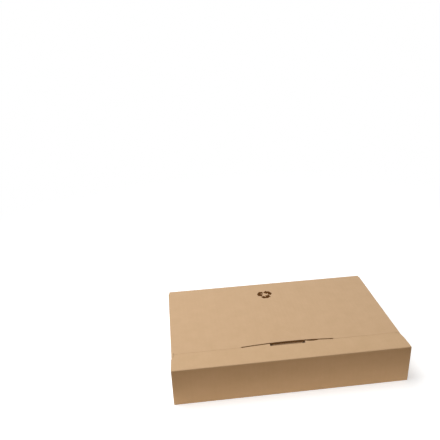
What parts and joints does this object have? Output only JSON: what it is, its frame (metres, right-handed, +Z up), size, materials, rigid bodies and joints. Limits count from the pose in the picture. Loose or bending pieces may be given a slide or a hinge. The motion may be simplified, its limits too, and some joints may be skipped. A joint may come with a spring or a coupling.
{
  "type": "corrugated mailer box",
  "caption": "Flat corrugated mailer box folded from one sheet, shut by a tuck tab on its front flap, with a film-faced inner panel.",
  "frame": {"origin": "middle of the rectangle that the box covers, on its underside", "axes": "+X along the front wall to the right, +Y from the front wall to the back wall, +Z up"},
  "size_m": [0.32, 0.209, 0.055],
  "materials": {
    "kraft_board": "plain unbleached kraft liner, matt, with cut edges that show the flutes",
    "flap_board": "plain unbleached kraft liner, matt, with cut edges that show the flutes",
    "clear_film": "clear, thin and glossy, lightly wrinkled"
  },
  "bodies": {
    "box": {"folded_box": "kraft_board", "retention_film": "clear_film"},
    "flap": {"front_flap": "flap_board"}
  },
  "joints": [
    {"name": "flap_hinge", "type": "hinge", "parent": "box", "child": "flap", "pos_m": [0, -0.1045, 0], "axis": [1, 0, 0], "range_deg": [0, 90]}
  ]
}
